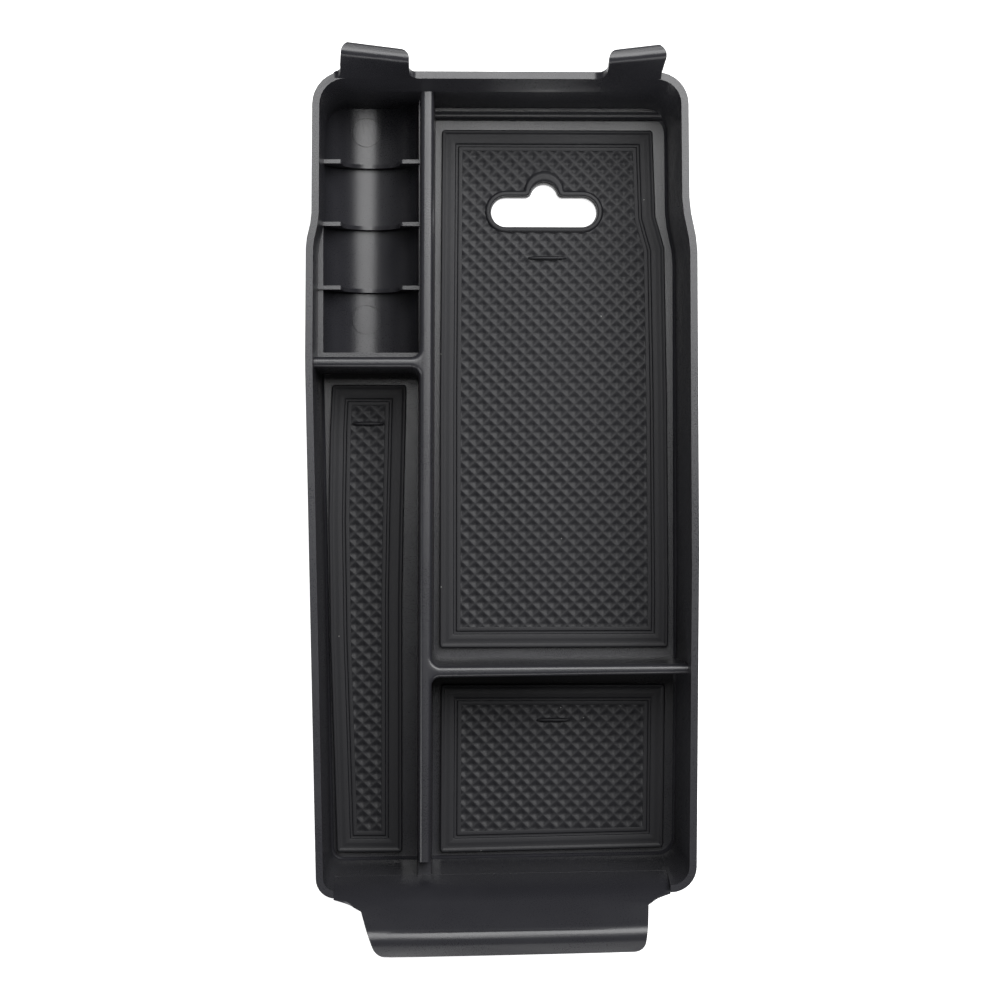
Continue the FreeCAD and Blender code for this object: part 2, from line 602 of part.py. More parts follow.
# A mat as one closed skin: base, stepped frame, field with pits, fin, and the slot through the main mat
def make_mat(outline, pit_at, fin_at, slot):
    loops = [(moved_edges(outline, [inset] * len(outline)), z) for inset, z in FRAME_STEPS]
    rings = [at_height(points, z) for points, z in loops]
    faces = []
    for lower, upper in zip(rings[:-1], rings[1:]):
        for i in range(len(lower)):
            faces.append(Part.Face(closed_polygon([lower[i - 1], lower[i], upper[i], upper[i - 1]])))
    base_wires = [closed_polygon(rings[0])]
    field_wires = [closed_polygon(rings[-1])]
    blocked = [(fin_at[0], fin_at[1], fin_at[2] / 2, FIN_WIDTH / 2)]
    for face in fin(*fin_at).Faces:
        if face.BoundBox.ZMax < FIELD_Z + 0.01:
            field_wires.append(face.OuterWire)
        else:
            faces.append(face)
    if slot:
        reach = SLOT_MAT_GAP + SLOT_COLLAR
        wall = Part.Wire(slot_edges(SLOT_MAT_GAP, MAT_BOTTOM_Z))
        collar = Part.Wire(slot_edges(reach, FIELD_Z))
        base_wires.append(wall)
        field_wires.append(collar)
        faces += wall.extrude(V(0, 0, COLLAR_Z - MAT_BOTTOM_Z)).Faces
        faces += collar.extrude(V(0, 0, COLLAR_Z - FIELD_Z)).Faces
        top_wires = [Part.Wire(slot_edges(gap, COLLAR_Z)) for gap in (reach, SLOT_MAT_GAP)]
        faces += Part.makeFace(top_wires, "Part::FaceMakerBullseye").Faces
        rise = SLOT_BUMP_R + reach
        blocked.append((SLOT_X, SLOT_Y, SLOT_LENGTH / 2 + reach, SLOT_WIDTH / 2 + reach))
        blocked.append((SLOT_X, SLOT_Y + SLOT_WIDTH / 2 + rise / 2, rise * 0.8, rise / 2))
    field = moved_edges(outline, [FRAME_STEPS[-1][0] + FIELD_MARGIN] * len(outline))
    cells = pit_cells(field, pit_at, blocked)
    half = PIT_PITCH / 2
    for loop in cell_loops(cells):
        field_wires.append(closed_polygon([V(pit_at[0] + u * half, pit_at[1] + v * half, FIELD_Z) for u, v in loop]))
    faces += pit_faces(cells, pit_at)
    faces += Part.makeFace(base_wires, "Part::FaceMakerBullseye").Faces
    faces += Part.makeFace(field_wires, "Part::FaceMakerBullseye").Faces
    return solid_of(faces)


make_tray().exportStep("parts/tray_body.step")
make_mat(MAIN_MAT, MAIN_PIT_AT, MAIN_FIN, True).exportStep("parts/main_mat.step")
make_mat(SMALL_MAT, SMALL_PIT_AT, SMALL_FIN, False).exportStep("parts/small_mat.step")
make_mat(PEN_MAT, PEN_PIT_AT, PEN_FIN, False).exportStep("parts/pen_mat.step")
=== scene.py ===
import math

import bmesh
import bpy
import numpy as np
from mathutils import Matrix, Vector


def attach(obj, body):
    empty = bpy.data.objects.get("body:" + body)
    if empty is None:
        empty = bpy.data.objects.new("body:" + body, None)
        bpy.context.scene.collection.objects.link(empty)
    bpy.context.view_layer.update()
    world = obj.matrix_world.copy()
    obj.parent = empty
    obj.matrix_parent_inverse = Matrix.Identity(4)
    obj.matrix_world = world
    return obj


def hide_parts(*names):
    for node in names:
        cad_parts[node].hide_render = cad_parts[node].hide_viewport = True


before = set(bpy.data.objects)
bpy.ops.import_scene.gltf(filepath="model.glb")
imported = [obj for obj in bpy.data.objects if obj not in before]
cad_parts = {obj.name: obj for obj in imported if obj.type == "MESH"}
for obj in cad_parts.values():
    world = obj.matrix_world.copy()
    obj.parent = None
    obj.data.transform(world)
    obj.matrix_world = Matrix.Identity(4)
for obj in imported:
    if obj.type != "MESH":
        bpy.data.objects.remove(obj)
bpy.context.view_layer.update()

bl_info = {
    "name": "Console tray dresser",
    "version": (1, 0, 0),
    "blender": (4, 5, 0),
    "location": "3D View > Sidebar > Console Tray",
    "description": "Moulded console tray with ribbed coin trough and three diamond pitted rubber mats",
    "category": "Object",
}

MM = 0.001
RIM_Z = 0.045

# Mats, in mm: outline seen from above (clockwise), a pit's centre, and the fin as (x, y, length)
MATS = {
    "main_mat": {
        "outline": [(-19.7, 127.0), (52.7, 127.0), (53.7, 97.5), (56.8, 86.5), (57.7, 34.0),
                    (58.2, -34.0), (58.0, -50.6), (-20.5, -50.8), (-20.4, 34.0)],
        "pit": (18.49, 23.05), "fin": (16.4, 83.1, 13.4), "slot": True,
    },
    "small_mat": {
        "outline": [(-20.1, -63.2), (57.0, -63.2), (56.3, -119.4), (-20.4, -121.0)],
        "pit": (17.33, -93.26), "fin": (18.6, -75.5, 11.6), "slot": False,
    },
    "pen_mat": {
        "outline": [(-57.4, 39.5), (-31.8, 39.5), (-32.7, 0.0), (-33.3, -34.0), (-33.3, -120.8),
                    (-55.7, -120.8), (-56.9, -82.0), (-58.0, -48.0), (-58.6, -7.0), (-58.1, 24.0)],
        "pit": (-44.51, -42.78), "fin": (-45.0, 26.2, 10.8), "slot": False,
    },
}
# Frame of a mat from its outer foot inwards, as (distance in, height), with the rounding of each inner corner
FRAME_LINE = [
    (0.0, 2.42), (0.0, 4.6), (0.35, 4.95), (0.9, 4.95), (1.5, 4.66), (2.2, 4.66), (3.2, 4.74),
    (4.7, 4.7), (4.9, 4.0), (5.65, 4.0), (5.85, 4.5), (7.2, 4.48), (7.2, 2.9),
]
FRAME_BENDS = [0.2, 0.25, 0.3, 0.4, 0.4, 1.5, 0.25, 0.15, 0.15, 0.2, 0.15]
# Smooth collar of the hang slot from the slot outwards, in the same form
COLLAR_LINE = [(0.4, 2.42), (0.4, 4.6), (0.75, 5.0), (1.7, 4.95), (2.3, 4.3), (2.3, 2.9)]
COLLAR_BENDS = [0.25, 0.3, 0.5, 0.2]
MAT_CORNER = 1.2
# The pit field ends under the frame and the collar, at these distances from the mat's and the slot's edge
FIELD_INSET = 6.55
FIELD_SLOT_GAP = 1.35
# Pits: spacing along x, width of a ridge, depth, and the heights of the ridges and of the plate's underside
PITS = {"pitch": 4.87, "ridge": 0.4, "depth": 0.6, "top": 4.42, "base": 2.6}
# Ticks across a pit between its ridges, as shares of the spacing
PIT_TICKS = (-0.22, 0.0, 0.22)
FIN = {"rise": 1.45, "sunk": -0.5, "width": 1.5}
SLOT = {"at": (15.4, 99.0), "length": 36.2, "width": 10.0, "bump": 4.6, "blend": 2.0}

# Angles in degrees past which an edge stays sharp, and past which it is rounded
TRAY_SHARP = 28.0
MAT_SHARP = 35.0
ROUNDED_PAST = 35
# Rounding of the moulding's other edges as a share of the rim's
INNER_EDGE_SHARE = 0.35
# Vertices nearer than this, in metres, become one
MERGE_REACH = 2e-6

# Camera and lamps, in metres: (power setting, (width, height), place, aim)
CAMERA_AT = (-0.02277, 0.0, 0.945)
CAMERA_AIM = (-0.00075, 0.0, 0.045)
LAMPS = {
    "softbox": ("softbox_power", (1.3, 0.85), (0.36, 0.52, 1.05), (0.0, 0.06, 0.0)),
    "side_lamp": ("side_power", (0.7, 0.5), (-0.85, -0.38, 0.42), (-0.05, -0.05, 0.03)),
    "front_lamp": ("front_power", (0.9, 0.35), (0.0, -0.95, 0.34), (0.0, 0.1, 0.03)),
}
FLOOR_HALF = 3.0
FLOOR_GLOW = 0.8

# Colour of a lint speck, and the share of all cells that hold one
LINT_COLOUR = (0.22, 0.22, 0.21, 1.0)
LINT_SHARE = 0.18
LINT_SPACING = 0.007
# Spread of tone and roughness over a moulding, and the depth of its grain in metres
DARKER, LIGHTER = 0.86, 1.16
ROUGHNESS_GRAIN = 0.05
ROUGHNESS_CLOUD = 0.03
GRAIN_DEPTH = 0.00005


# Settings

class TraySettings(bpy.types.PropertyGroup):
    plastic: bpy.props.FloatVectorProperty(
        name="Plastic colour", description="Body colour of the moulded tray",
        subtype="COLOR", size=3, min=0.0, max=1.0, default=(0.019, 0.019, 0.0225))
    plastic_roughness: bpy.props.FloatProperty(
        name="Plastic roughness", description="Roughness of the satin moulded skin",
        subtype="FACTOR", min=0.0, max=1.0, default=0.3)
    edge_round: bpy.props.FloatProperty(
        name="Edge round", description="Radius of the moulding's outer edges",
        subtype="DISTANCE", unit="LENGTH", min=0.0, max=0.002, default=0.0009)
    grain_size: bpy.props.FloatProperty(
        name="Grain size", description="Size of one speck of the spark eroded grain",
        subtype="DISTANCE", unit="LENGTH", min=0.0001, max=0.002, default=0.00035)


class MatSettings(bpy.types.PropertyGroup):
    rubber: bpy.props.FloatVectorProperty(
        name="Rubber colour", description="Colour of the loose mats",
        subtype="COLOR", size=3, min=0.0, max=1.0, default=(0.012, 0.012, 0.0142))
    rubber_roughness: bpy.props.FloatProperty(
        name="Rubber roughness", description="Roughness of the mats",
        subtype="FACTOR", min=0.0, max=1.0, default=0.5)


class StageSettings(bpy.types.PropertyGroup):
    floor_white: bpy.props.FloatProperty(
        name="Floor white", description="Diffuse white of the floor and the backdrop",
        subtype="FACTOR", min=0.0, max=1.0, default=0.8)
    softbox_power: bpy.props.FloatProperty(
        name="Softbox power", description="Power of the large overhead softbox",
        subtype="POWER", unit="POWER", min=0.0, default=26.0)
    side_power: bpy.props.FloatProperty(
        name="Side lamp power", description="Power of the low lamp at the side of the pen bay",
        subtype="POWER", unit="POWER", min=0.0, default=4.2)
    front_power: bpy.props.FloatProperty(
        name="Front lamp power", description="Power of the low lamp at the lip end",
        subtype="POWER", unit="POWER", min=0.0, default=3.0)
    sky_level: bpy.props.FloatProperty(
        name="Studio level", description="Brightness of the plain studio round the tray",
        min=0.0, max=2.0, default=0.08)
    focal_length: bpy.props.FloatProperty(
        name="Focal length", description="Lens of the camera above the tray",
        subtype="DISTANCE_CAMERA", min=10.0, max=500.0, default=98.653)


# Shader node groups

def new_group(name, inputs, outputs):
    """Empty shader node group; inputs and outputs are (name, socket type, default or None)."""
    group = bpy.data.node_groups.new(name, "ShaderNodeTree")
    for way, sockets in (("INPUT", inputs), ("OUTPUT", outputs)):
        for label, kind, default in sockets:
            socket = group.interface.new_socket(name=label, in_out=way, socket_type=kind)
            if default is not None:
                socket.default_value = default
    return group, group.nodes.new("NodeGroupInput"), group.nodes.new("NodeGroupOutput")


def add(tree, kind, inputs=None, **settings):
    """New node in a tree; each input is a value, or an output socket to link from."""
    node = tree.nodes.new(kind)
    for key, value in settings.items():
        setattr(node, key, value)
    for key, value in (inputs or {}).items():
        if isinstance(value, bpy.types.NodeSocket):
            tree.links.new(value, node.inputs[key])
        else:
            node.inputs[key].default_value = value
    return node


def moulded_grain_group():
    """Fine eroded grain: small cells plus finer noise, as a height and a speckle mask."""
    group, entry, leave = new_group(
        "Moulded Grain",
        [("Size", "NodeSocketFloat", 0.0004)],
        [("Height", "NodeSocketFloat", None), ("Speckle", "NodeSocketFloat", None)])
    place = add(group, "ShaderNodeTexCoord")
    scale = add(group, "ShaderNodeMath", {0: 1.0, 1: entry.outputs["Size"]}, operation="DIVIDE")
    cells = add(group, "ShaderNodeTexVoronoi",
                {"Vector": place.outputs["Object"], "Scale": scale.outputs[0]}, feature="SMOOTH_F1")
    fine = add(group, "ShaderNodeTexNoise", {"Vector": place.outputs["Object"], "Scale": scale.outputs[0],
                                             "Detail": 3.0, "Roughness": 0.6})
    both = add(group, "ShaderNodeMath",
               {0: cells.outputs["Distance"], 1: fine.outputs["Fac"]}, operation="ADD")
    group.links.new(both.outputs[0], leave.inputs["Height"])
    group.links.new(fine.outputs["Fac"], leave.inputs["Speckle"])
    return group


def flow_group():
    """Slow variation over a moulding, as where plastic flowed and cooled unevenly."""
    group, entry, leave = new_group(
        "Cooling Clouds",
        [("Size", "NodeSocketFloat", 0.03)],
        [("Cloud", "NodeSocketFloat", None)])
    place = add(group, "ShaderNodeTexCoord")
    scale = add(group, "ShaderNodeMath", {0: 1.0, 1: entry.outputs["Size"]}, operation="DIVIDE")
    cloud = add(group, "ShaderNodeTexNoise", {"Vector": place.outputs["Object"], "Scale": scale.outputs[0],
                                              "Detail": 4.0, "Roughness": 0.55})
    group.links.new(cloud.outputs["Fac"], leave.inputs["Cloud"])
    return group


def dust_group():
    """A few pale lint specks, as a mask: the cores of sparse random cells."""
    group, entry, leave = new_group(
        "Lint Specks",
        [("Size", "NodeSocketFloat", 0.006), ("Radius", "NodeSocketFloat", 0.06)],
        [("Mask", "NodeSocketFloat", None)])
    place = add(group, "ShaderNodeTexCoord")
    scale = add(group, "ShaderNodeMath", {0: 1.0, 1: entry.outputs["Size"]}, operation="DIVIDE")
    cells = add(group, "ShaderNodeTexVoronoi", {"Vector": place.outputs["Object"], "Scale": scale.outputs[0],
                                                "Randomness": 1.0}, feature="F1")
    near = add(group, "ShaderNodeMath", {0: cells.outputs["Distance"], 1: entry.outputs["Radius"]},
               operation="LESS_THAN")
    rare = add(group, "ShaderNodeSeparateColor", {0: cells.outputs["Color"]})
    pick = add(group, "ShaderNodeMath", {0: rare.outputs["Red"], 1: LINT_SHARE}, operation="LESS_THAN")
    mask = add(group, "ShaderNodeMath", {0: near.outputs[0], 1: pick.outputs[0]}, operation="MULTIPLY")
    group.links.new(mask.outputs[0], leave.inputs["Mask"])
    return group


def grouped(tree, group, inputs):
    """Node that places a group in a material, with its own values."""
    node = tree.nodes.new("ShaderNodeGroup")
    node.node_tree = group
    for key, value in inputs.items():
        node.inputs[key].default_value = value
    return node


def range_of(tree, value, low, high, to_low, to_high):
    """Map Range node: value from low..high to to_low..to_high, clamped."""
    node = add(tree, "ShaderNodeMapRange", {"Value": value, "From Min": low, "From Max": high,
                                            "To Min": to_low, "To Max": to_high})
    return node.outputs["Result"]


def moulded_material(name, colour, roughness, grain, bump, clouds, lint, shine):
    """Principled surface for plastic and rubber. Grain and clouds are sizes in metres, bump is the grain's
    strength, lint the radius of a speck as a share of its cell, and shine the specular level."""
    material = bpy.data.materials.new(name)
    material.use_nodes = True
    tree = material.node_tree
    shader = tree.nodes["Principled BSDF"]
    shader.inputs["Specular IOR Level"].default_value = shine
    grain_node = grouped(tree, GROUPS["grain"], {"Size": grain})
    cloud_node = grouped(tree, GROUPS["cloud"], {"Size": clouds})
    lint_node = grouped(tree, GROUPS["lint"], {"Size": LINT_SPACING, "Radius": lint})
    dark = [c * DARKER for c in colour] + [1.0]
    light = [c * LIGHTER for c in colour] + [1.0]
    base = add(tree, "ShaderNodeMix", {"Factor": cloud_node.outputs["Cloud"]}, data_type="RGBA")
    base.inputs[6].default_value = dark
    base.inputs[7].default_value = light
    speck = add(tree, "ShaderNodeMix", {"Factor": lint_node.outputs["Mask"]}, data_type="RGBA")
    tree.links.new(base.outputs[2], speck.inputs[6])
    speck.inputs[7].default_value = LINT_COLOUR
    tree.links.new(speck.outputs[2], shader.inputs["Base Color"])
    rough_grain = range_of(tree, grain_node.outputs["Speckle"], 0.3, 0.7,
                           roughness - ROUGHNESS_GRAIN, roughness + ROUGHNESS_GRAIN)
    rough_cloud = range_of(tree, cloud_node.outputs["Cloud"], 0.3, 0.7, -ROUGHNESS_CLOUD, ROUGHNESS_CLOUD)
    rough = add(tree, "ShaderNodeMath", {0: rough_grain, 1: rough_cloud}, operation="ADD")
    tree.links.new(rough.outputs[0], shader.inputs["Roughness"])
    relief = add(tree, "ShaderNodeBump", {"Height": grain_node.outputs["Height"], "Strength": bump,
                                          "Distance": GRAIN_DEPTH})
    tree.links.new(relief.outputs["Normal"], shader.inputs["Normal"])
    return material


# The shared groups by name, filled in main
GROUPS = {}


# Meshes

def sharp_shaded(mesh, angle):
    """Smooth faces with the edges past the angle kept sharp."""
    mesh.shade_smooth()
    mesh.set_sharp_from_angle(angle=math.radians(angle))


def joined_copy(node, name):
    """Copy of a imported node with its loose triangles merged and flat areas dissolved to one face."""
    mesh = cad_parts[node].data.copy()
    mesh.name = name
    mesh.materials.clear()
    work = bmesh.new()
    work.from_mesh(mesh)
    bmesh.ops.remove_doubles(work, verts=work.verts, dist=MERGE_REACH)
    bmesh.ops.dissolve_limit(work, angle_limit=math.radians(0.6), verts=work.verts, edges=work.edges)
    work.to_mesh(mesh)
    work.free()
    for layer in [a.name for a in mesh.attributes if a.name == "custom_normal"]:
        mesh.attributes.remove(mesh.attributes[layer])
    piece = bpy.data.objects.new(name, mesh)
    bpy.context.scene.collection.objects.link(piece)
    return piece


def weigh_edges(mesh):
    """Bevel weight of each edge that turns past ROUNDED_PAST: full on the rim, INNER_EDGE_SHARE elsewhere."""
    work = bmesh.new()
    work.from_mesh(mesh)
    layers = work.edges.layers.float
    layer = layers.get("bevel_weight_edge") or layers.new("bevel_weight_edge")
    for edge in work.edges:
        if len(edge.link_faces) == 2 and edge.calc_face_angle(0.0) > math.radians(ROUNDED_PAST):
            on_rim = all(abs(v.co.z - RIM_Z) < 2e-5 for v in edge.verts)
            edge[layer] = 1.0 if on_rim else INNER_EDGE_SHARE
    work.to_mesh(mesh)
    work.free()


def arc(centre, radius, start, end, count=9):
    """Points centre + radius * (cos a, sin a) for the angle a in degrees from start to end."""
    a = np.radians(np.linspace(start, end, count))
    return np.stack([centre[0] + radius * np.cos(a), centre[1] + radius * np.sin(a)], 1)


def slot_path(gap):
    """Hang slot grown by a gap: a stadium, and a bump circle on its upper edge with blend arcs beside it."""
    half = SLOT["length"] / 2 + gap
    r = SLOT["width"] / 2 + gap
    bump = SLOT["bump"] + gap
    blend = max(SLOT["blend"] - gap, 0.6)
    x, y = SLOT["at"]
    top = y + r
    side = math.sqrt((bump + blend) ** 2 - blend ** 2)
    slant = math.degrees(math.atan2(blend, side))
    return np.concatenate([
        arc((x + half - r, y), r, -90, 90, 17),
        arc((x + side, top + blend), blend, -90, -180 + slant),
        arc((x, top), bump, slant, 180 - slant, 17),
        arc((x - side, top + blend), blend, -slant, -90),
        arc((x - half + r, y), r, 90, 270, 17),
    ])


def bent(corners, before, after, radii, steps):
    """Arc at each corner between its two directions: centre c + b * r / sin(h) on the bisector b of half
    angle h, and the points turn evenly from one tangent point to the other."""
    full = np.arccos(np.clip((before * after).sum(1), -1, 1))
    half = full / 2
    bisector = before + after
    bisector /= np.linalg.norm(bisector, axis=1)[:, None]
    centre = corners + bisector * (radii / np.sin(half))[:, None]
    reach = (radii / np.tan(half))[:, None]
    first = (corners + before * reach - centre) / radii[:, None]
    last = (corners + after * reach - centre) / radii[:, None]
    sweep = (math.pi - full)[:, None]
    share = np.linspace(0, 1, steps + 1)[None, :]
    weight_a = np.sin((1 - share) * sweep) / np.sin(sweep)
    weight_b = np.sin(share * sweep) / np.sin(sweep)
    turned = weight_a[..., None] * first[:, None] + weight_b[..., None] * last[:, None]
    return (centre[:, None] + radii[:, None, None] * turned).reshape(-1, 2)


def mat_path(outline, radius, inset, steps=6):
    """Clockwise outline with its edges moved in by inset, and its corners rounded by radius less inset."""
    points = np.asarray(outline, float)
    along = np.roll(points, -1, 0) - points
    along /= np.linalg.norm(along, axis=1)[:, None]
    start = points + np.stack([along[:, 1], -along[:, 0]], 1) * inset
    start_before, along_before = np.roll(start, 1, 0), np.roll(along, 1, 0)
    cross = along_before[:, 0] * along[:, 1] - along_before[:, 1] * along[:, 0]
    gap = start - start_before
    far = (gap[:, 0] * along[:, 1] - gap[:, 1] * along[:, 0]) / cross
    corners = start_before + along_before * far[:, None]
    radii = np.clip(np.where(cross < 0, radius - inset, radius + inset), 0.25, None)
    return bent(corners, -along_before, along, radii, steps)


def profile_line(points, radii, steps=4):
    """Open line of (distance, height) points with its inner corners rounded."""
    points = np.asarray(points, float)
    after = points[2:] - points[1:-1]
    before = points[:-2] - points[1:-1]
    after /= np.linalg.norm(after, axis=1)[:, None]
    before /= np.linalg.norm(before, axis=1)[:, None]
    inner = bent(points[1:-1], before, after, np.asarray(radii, float), steps)
    return np.concatenate([points[:1], inner, points[-1:]])


def ring_faces(rows, columns, offset):
    """Four sided faces of a grid that closes in both directions."""
    i, j = np.meshgrid(np.arange(rows), np.arange(columns), indexing="ij")
    i2, j2 = (i + 1) % rows, (j + 1) % columns
    faces = np.stack([i * columns + j, i * columns + j2, i2 * columns + j2, i2 * columns + j], -1)
    return faces.reshape(-1, 4) + offset


def ring(profile, path_at, offset):
    """Closed ring: the path at each profile point's distance, lifted to that point's height."""
    loops = np.stack([np.column_stack([path_at(d), np.full(len(path_at(d)), z)]) for d, z in profile])
    return loops.reshape(-1, 3), ring_faces(loops.shape[0], loops.shape[1], offset)


def signed_inside(loop, x, y):
    """Distance from each point to a closed loop, positive inside it (even number of crossings is outside)."""
    a, b = loop, np.roll(loop, -1, 0)
    ax, ay, bx, by = a[:, 0], a[:, 1], b[:, 0], b[:, 1]
    px, py = x[..., None], y[..., None]
    dx, dy = bx - ax, by - ay
    t = np.clip(((px - ax) * dx + (py - ay) * dy) / np.maximum(dx * dx + dy * dy, 1e-12), 0, 1)
    near = np.sqrt((px - ax - t * dx) ** 2 + (py - ay - t * dy) ** 2).min(-1)
    straddles = (ay > py) != (by > py)
    crosses = straddles & (px < ax + (py - ay) * dx / np.where(np.abs(dy) < 1e-12, 1e-12, dy))
    return np.where(crosses.sum(-1) % 2 == 1, near, -near)


def pit_plate(centre, kept, span, offset):
    """Plate with a staggered grid of square pits. With u = (x + y) / pitch and v = (x - y) / pitch about a
    pit's centre, the height drops in a straight slope from the flat ridges to the middle of each whole
    (u, v). The plate keeps the cells whose middles pass kept, and walls close its outline."""
    ridge = PITS["ridge"] / (PITS["pitch"] / math.sqrt(2)) / 2
    reach = int(span / PITS["pitch"] * 1.5) + 2
    steps = np.array([-0.5 + ridge, *PIT_TICKS, 0.5 - ridge])
    period = len(steps)
    last = period - 1
    ticks = (np.arange(-reach, reach)[:, None] + steps).ravel()
    u, v = np.meshgrid(ticks, ticks, indexing="ij")
    x = centre[0] + (u + v) * PITS["pitch"] / 2
    y = centre[1] + (u - v) * PITS["pitch"] / 2
    away = np.maximum(np.abs(u - np.round(u)), np.abs(v - np.round(v)))
    z = PITS["top"] - PITS["depth"] * np.clip(1 - away / (0.5 - ridge), 0, 1)
    n = len(ticks)
    i, j = np.meshgrid(np.arange(n - 1), np.arange(n - 1), indexing="ij")
    mid_x = (x[:-1, :-1] + x[1:, 1:]) / 2
    mid_y = (y[:-1, :-1] + y[1:, 1:]) / 2
    keep = kept(mid_x, mid_y)
    a, b, c, d = i * n + j, (i + 1) * n + j, (i + 1) * n + j + 1, i * n + j + 1
    # Cells cut along the other diagonal, so that the creases of each pit run to its corners
    pit_i, pit_j = i % period, j % period
    opposite = (pit_i < last / 2) != (pit_j < last / 2)
    other = opposite & (pit_i < last) & (pit_j < last) & keep
    plain = keep & ~other
    low = n * n

    def stack(mask, *corners):
        return np.stack([corner[mask] for corner in corners], -1)

    faces = np.concatenate([
        stack(plain, a, c, b), stack(plain, a, d, c), stack(other, a, d, b), stack(other, b, d, c),
        stack(keep, a + low, b + low, c + low), stack(keep, a + low, c + low, d + low),
    ])
    edge = np.pad(keep, 1)
    inner = edge[1:-1, 1:-1]
    walls = []
    for beyond, p, q in (
        (edge[:-2, 1:-1], a, d), (edge[2:, 1:-1], c, b), (edge[1:-1, :-2], b, a), (edge[1:-1, 2:], d, c),
    ):
        side = inner & ~beyond
        walls += [stack(side, p, q, q + low), stack(side, p, q + low, p + low)]
    faces = np.concatenate([faces] + walls)
    points = np.concatenate([
        np.stack([x, y, z], -1).reshape(-1, 3),
        np.stack([x, y, np.full_like(x, PITS["base"])], -1).reshape(-1, 3),
    ])
    used, faces = np.unique(faces, return_inverse=True)
    return points[used], faces.reshape(-1, 3) + offset


def fin_shell(x, y, length, offset):
    """Thin fin: half an ellipsoid above the field, a shallow one sunk in it. Its radii shrink as a power of
    sin(f) to both tips."""
    f, t = np.meshgrid(np.linspace(0, math.pi, 25), np.linspace(0, 2 * math.pi, 17)[:-1], indexing="ij")
    thin = np.sin(f) ** 0.75
    high = np.where(np.sin(t) > 0, FIN["rise"], FIN["sunk"])
    points = np.stack([
        x - length / 2 * np.cos(f), y + FIN["width"] / 2 * thin * np.cos(t),
        PITS["top"] + high * thin * np.abs(np.sin(t)) ** 0.8 * np.sign(np.sin(t))], -1)
    faces = ring_faces(f.shape[0], f.shape[1], offset)
    return points.reshape(-1, 3), faces[:(f.shape[0] - 1) * f.shape[1]]


def built(name, parts, angle):
    """One object from (points, faces) parts in mm; doubles at the tips merge and the normals turn outward."""
    mesh = bpy.data.meshes.new(name)
    points = np.concatenate([p for p, _ in parts]) * MM
    mesh.from_pydata(points.tolist(), [], [face for _, faces in parts for face in faces.tolist()])
    work = bmesh.new()
    work.from_mesh(mesh)
    bmesh.ops.remove_doubles(work, verts=work.verts, dist=MERGE_REACH)
    bmesh.ops.recalc_face_normals(work, faces=work.faces)
    work.to_mesh(mesh)
    work.free()
    sharp_shaded(mesh, angle)
    piece = bpy.data.objects.new(name, mesh)
    bpy.context.scene.collection.objects.link(piece)
    return piece


# Operators

class CONSOLETRAY_OT_tray(bpy.types.Operator):
    """Dress the moulded tray: rounded edges and satin black plastic"""
    bl_idname = "consoletray.tray"
    bl_label = "Dress the tray"

    def execute(self, context):
        settings = context.scene.console_tray
        piece = joined_copy("tray_body", "tray_moulding")
        piece.data.materials.append(moulded_material(
            "Satin black plastic", settings.plastic, settings.plastic_roughness,
            grain=settings.grain_size, bump=0.25, clouds=0.03, lint=0.0, shine=0.5))
        sharp_shaded(piece.data, TRAY_SHARP)
        weigh_edges(piece.data)
        bevel = piece.modifiers.new("Edge round", "BEVEL")
        bevel.width = settings.edge_round
        bevel.segments = 3
        bevel.limit_method = "WEIGHT"
        bevel.harden_normals = False
        bevel.miter_outer = "MITER_ARC"
        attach(piece, "root")
        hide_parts("tray_body")
        return {"FINISHED"}


class CONSOLETRAY_OT_mats(bpy.types.Operator):
    """Lay the three rubber mats in their compartments"""
    bl_idname = "consoletray.mats"
    bl_label = "Lay the mats"

    def execute(self, context):
        settings = context.scene.console_mats
        rubber = moulded_material(
            "Black mat rubber", settings.rubber, settings.rubber_roughness,
            grain=0.0005, bump=0.2, clouds=0.04, lint=0.03, shine=0.28)
        for node, mat in MATS.items():
            outline = np.asarray(mat["outline"], float)
            inner = mat_path(outline, MAT_CORNER, FIELD_INSET)
            frame_line = profile_line(FRAME_LINE, FRAME_BENDS)
            parts = [ring(frame_line, lambda d: mat_path(outline, MAT_CORNER, d), 0)]
            held_back = slot_path(FIELD_SLOT_GAP) if mat["slot"] else None

            def kept(x, y):
                inside = signed_inside(inner, x, y) > 0
                return inside if held_back is None else inside & (signed_inside(held_back, x, y) < 0)

            span = max(np.abs(outline - np.asarray(mat["pit"])).max(0))
            parts.append(pit_plate(mat["pit"], kept, span, sum(len(p) for p, _ in parts)))
            parts.append(fin_shell(*mat["fin"], sum(len(p) for p, _ in parts)))
            if mat["slot"]:
                collar_line = profile_line(COLLAR_LINE, COLLAR_BENDS)
                parts.append(ring(collar_line, slot_path, sum(len(p) for p, _ in parts)))
            piece = built(node + "_rubber", parts, MAT_SHARP)
            piece.data.materials.append(rubber)
            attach(piece, "root")
            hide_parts(node)
        return {"FINISHED"}


def looking(camera, place, aim, up):
    """Camera matrix: its -Z runs from place to aim, and its +Y stays nearest to up."""
    forward = (Vector(aim) - Vector(place)).normalized()
    right = forward.cross(Vector(up)).normalized()
    upward = right.cross(forward)
    turned = Matrix((right, upward, -forward)).transposed().to_4x4()
    camera.matrix_world = Matrix.Translation(Vector(place)) @ turned


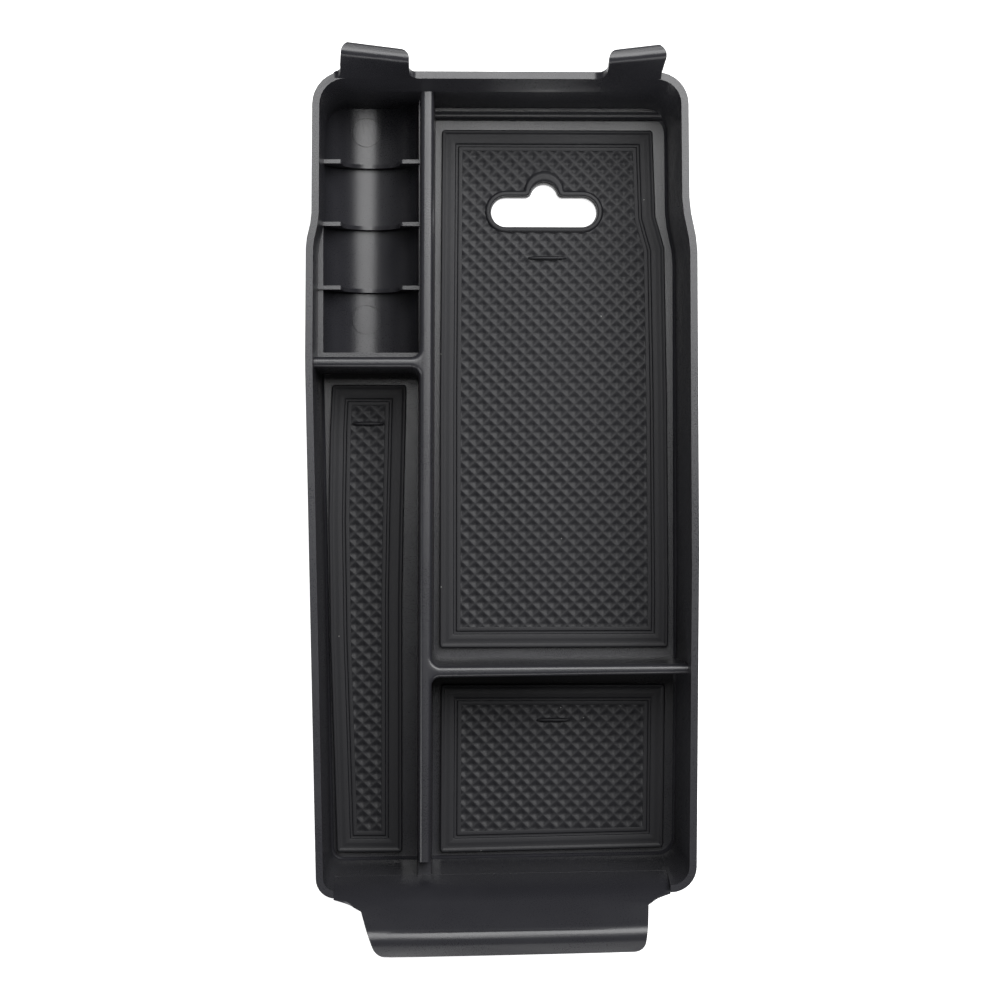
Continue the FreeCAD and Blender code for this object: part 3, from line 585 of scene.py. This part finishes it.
class CONSOLETRAY_OT_stage(bpy.types.Operator):
    """Set the pale floor, the softbox, the two low lamps, the dim studio and the camera above the tray"""
    bl_idname = "consoletray.stage"
    bl_label = "Set the stage"

    def execute(self, context):
        settings = context.scene.console_stage
        scene = context.scene
        scene.view_settings.view_transform = "Standard"
        self.floor(settings)
        self.studio(scene, settings)
        for name, (power, sizes, place, aim) in LAMPS.items():
            self.lamp(name, getattr(settings, power), sizes, place, aim)
        camera = bpy.data.objects.new("camera", bpy.data.cameras.new("camera"))
        scene.collection.objects.link(camera)
        camera.data.sensor_width = 36.0
        camera.data.lens = settings.focal_length
        camera.data.clip_start = 0.01
        camera.data.clip_end = 50.0
        looking(camera, CAMERA_AT, CAMERA_AIM, (0.0, 1.0, 0.0))
        scene.camera = camera
        return {"FINISHED"}

    def floor(self, settings):
        """Square floor that shows white to the camera and still takes a shadow."""
        half = FLOOR_HALF
        mesh = bpy.data.meshes.new("floor")
        corners = [(-half, -half, 0), (half, -half, 0), (half, half, 0), (-half, half, 0)]
        mesh.from_pydata(corners, [], [(0, 1, 2, 3)])
        floor = bpy.data.objects.new("floor", mesh)
        bpy.context.scene.collection.objects.link(floor)
        material = bpy.data.materials.new("Floor white")
        material.use_nodes = True
        tree = material.node_tree
        shader = tree.nodes["Principled BSDF"]
        shader.inputs["Base Color"].default_value = [settings.floor_white] * 3 + [1.0]
        shader.inputs["Roughness"].default_value = 0.9
        path = add(tree, "ShaderNodeLightPath")
        seen = add(tree, "ShaderNodeMath",
                   {0: path.outputs["Is Camera Ray"], 1: path.outputs["Is Transmission Ray"]},
                   operation="ADD", use_clamp=True)
        seen = add(tree, "ShaderNodeMath", {0: seen.outputs[0], 1: path.outputs["Is Glossy Ray"]},
                   operation="ADD", use_clamp=True)
        lift = add(tree, "ShaderNodeMath", {0: seen.outputs[0], 1: FLOOR_GLOW}, operation="MULTIPLY")
        tree.links.new(lift.outputs[0], shader.inputs["Emission Strength"])
        shader.inputs["Emission Color"].default_value = (1, 1, 1, 1)
        mesh.materials.append(material)

    def studio(self, scene, settings):
        """Plain even surroundings, dimmer than the lamps."""
        world = bpy.data.worlds.new("Studio")
        scene.world = world
        world.use_nodes = True
        ground = world.node_tree.nodes["Background"]
        ground.inputs["Color"].default_value = (1, 1, 1, 1)
        ground.inputs["Strength"].default_value = settings.sky_level

    def lamp(self, name, power, sizes, place, aim):
        """Soft rectangular lamp that the camera doesn't see, turned from its place towards aim."""
        lamp = bpy.data.lights.new(name, "AREA")
        lamp.shape = "RECTANGLE"
        lamp.size, lamp.size_y = sizes
        lamp.energy = power
        held = bpy.data.objects.new(name, lamp)
        bpy.context.scene.collection.objects.link(held)
        looking(held, place, aim, (0.0, 1.0, 0.0) if abs(place[1]) < place[2] else (0.0, 0.0, 1.0))
        held.visible_camera = False


class CONSOLETRAY_PT_panel(bpy.types.Panel):
    """Sidebar panel with the tray's settings and steps"""
    bl_idname = "CONSOLETRAY_PT_panel"
    bl_label = "Console tray"
    bl_space_type = "VIEW_3D"
    bl_region_type = "UI"
    bl_category = "Console Tray"

    def draw(self, context):
        layout = self.layout
        for group in ("console_tray", "console_mats", "console_stage"):
            box = layout.box()
            settings = getattr(context.scene, group)
            for key in settings.bl_rna.properties.keys():
                if key not in ("rna_type", "name"):
                    box.prop(settings, key)
        for step in STEPS:
            layout.operator(step.bl_idname)


GROUP_CLASSES = (TraySettings, MatSettings, StageSettings)
STEPS = (CONSOLETRAY_OT_stage, CONSOLETRAY_OT_tray, CONSOLETRAY_OT_mats)


def register():
    for each in GROUP_CLASSES + STEPS + (CONSOLETRAY_PT_panel,):
        bpy.utils.register_class(each)
    bpy.types.Scene.console_tray = bpy.props.PointerProperty(type=TraySettings)
    bpy.types.Scene.console_mats = bpy.props.PointerProperty(type=MatSettings)
    bpy.types.Scene.console_stage = bpy.props.PointerProperty(type=StageSettings)


def unregister():
    del bpy.types.Scene.console_stage
    del bpy.types.Scene.console_mats
    del bpy.types.Scene.console_tray
    for each in reversed(GROUP_CLASSES + STEPS + (CONSOLETRAY_PT_panel,)):
        bpy.utils.unregister_class(each)


def main():
    register()
    GROUPS["grain"] = moulded_grain_group()
    GROUPS["cloud"] = flow_group()
    GROUPS["lint"] = dust_group()
    bpy.ops.consoletray.stage()
    bpy.ops.consoletray.tray()
    bpy.ops.consoletray.mats()


if __name__ == "__main__":
    main()
